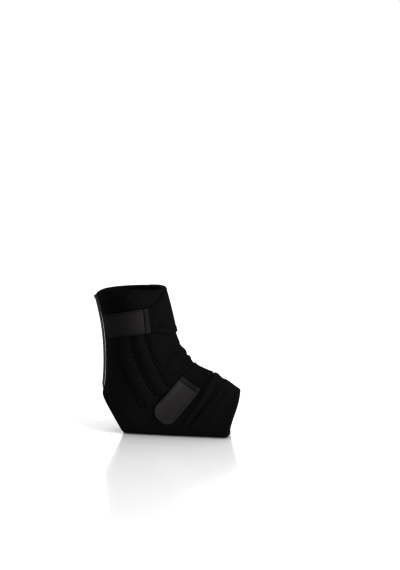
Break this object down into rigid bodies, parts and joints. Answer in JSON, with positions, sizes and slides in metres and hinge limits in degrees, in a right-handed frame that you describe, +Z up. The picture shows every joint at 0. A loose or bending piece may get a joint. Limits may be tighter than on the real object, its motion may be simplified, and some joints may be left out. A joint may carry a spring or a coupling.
{
  "type": "ankle brace",
  "caption": "Pull-on ankle brace of foam cloth, open at the leg, toes and heel, with elastic straps closed by hook tabs.",
  "frame": {"origin": "on the flat sole, on the floor, straight below the ankle", "axes": "+X towards the toes, +Y towards the inner side of the foot, +Z up the leg"},
  "size_m": [0.1768, 0.0865, 0.1772],
  "materials": {
    "sleeve": "matt knit over foam",
    "back_seam_tape": "matt woven tape",
    "stay_panel": "matt knit with zigzag stitches",
    "leg_strap": "ribbed elastic",
    "leg_tab": "satin woven tape",
    "foot_strap": "ribbed elastic",
    "foot_tab": "satin woven tape"
  },
  "bodies": {
    "root": {"sleeve": "sleeve", "back_seam_tape": "back_seam_tape", "stay_panel": "stay_panel", "leg_strap": "leg_strap", "leg_tab": "leg_tab", "foot_strap": "foot_strap", "foot_tab": "foot_tab"}
  },
  "joints": []
}
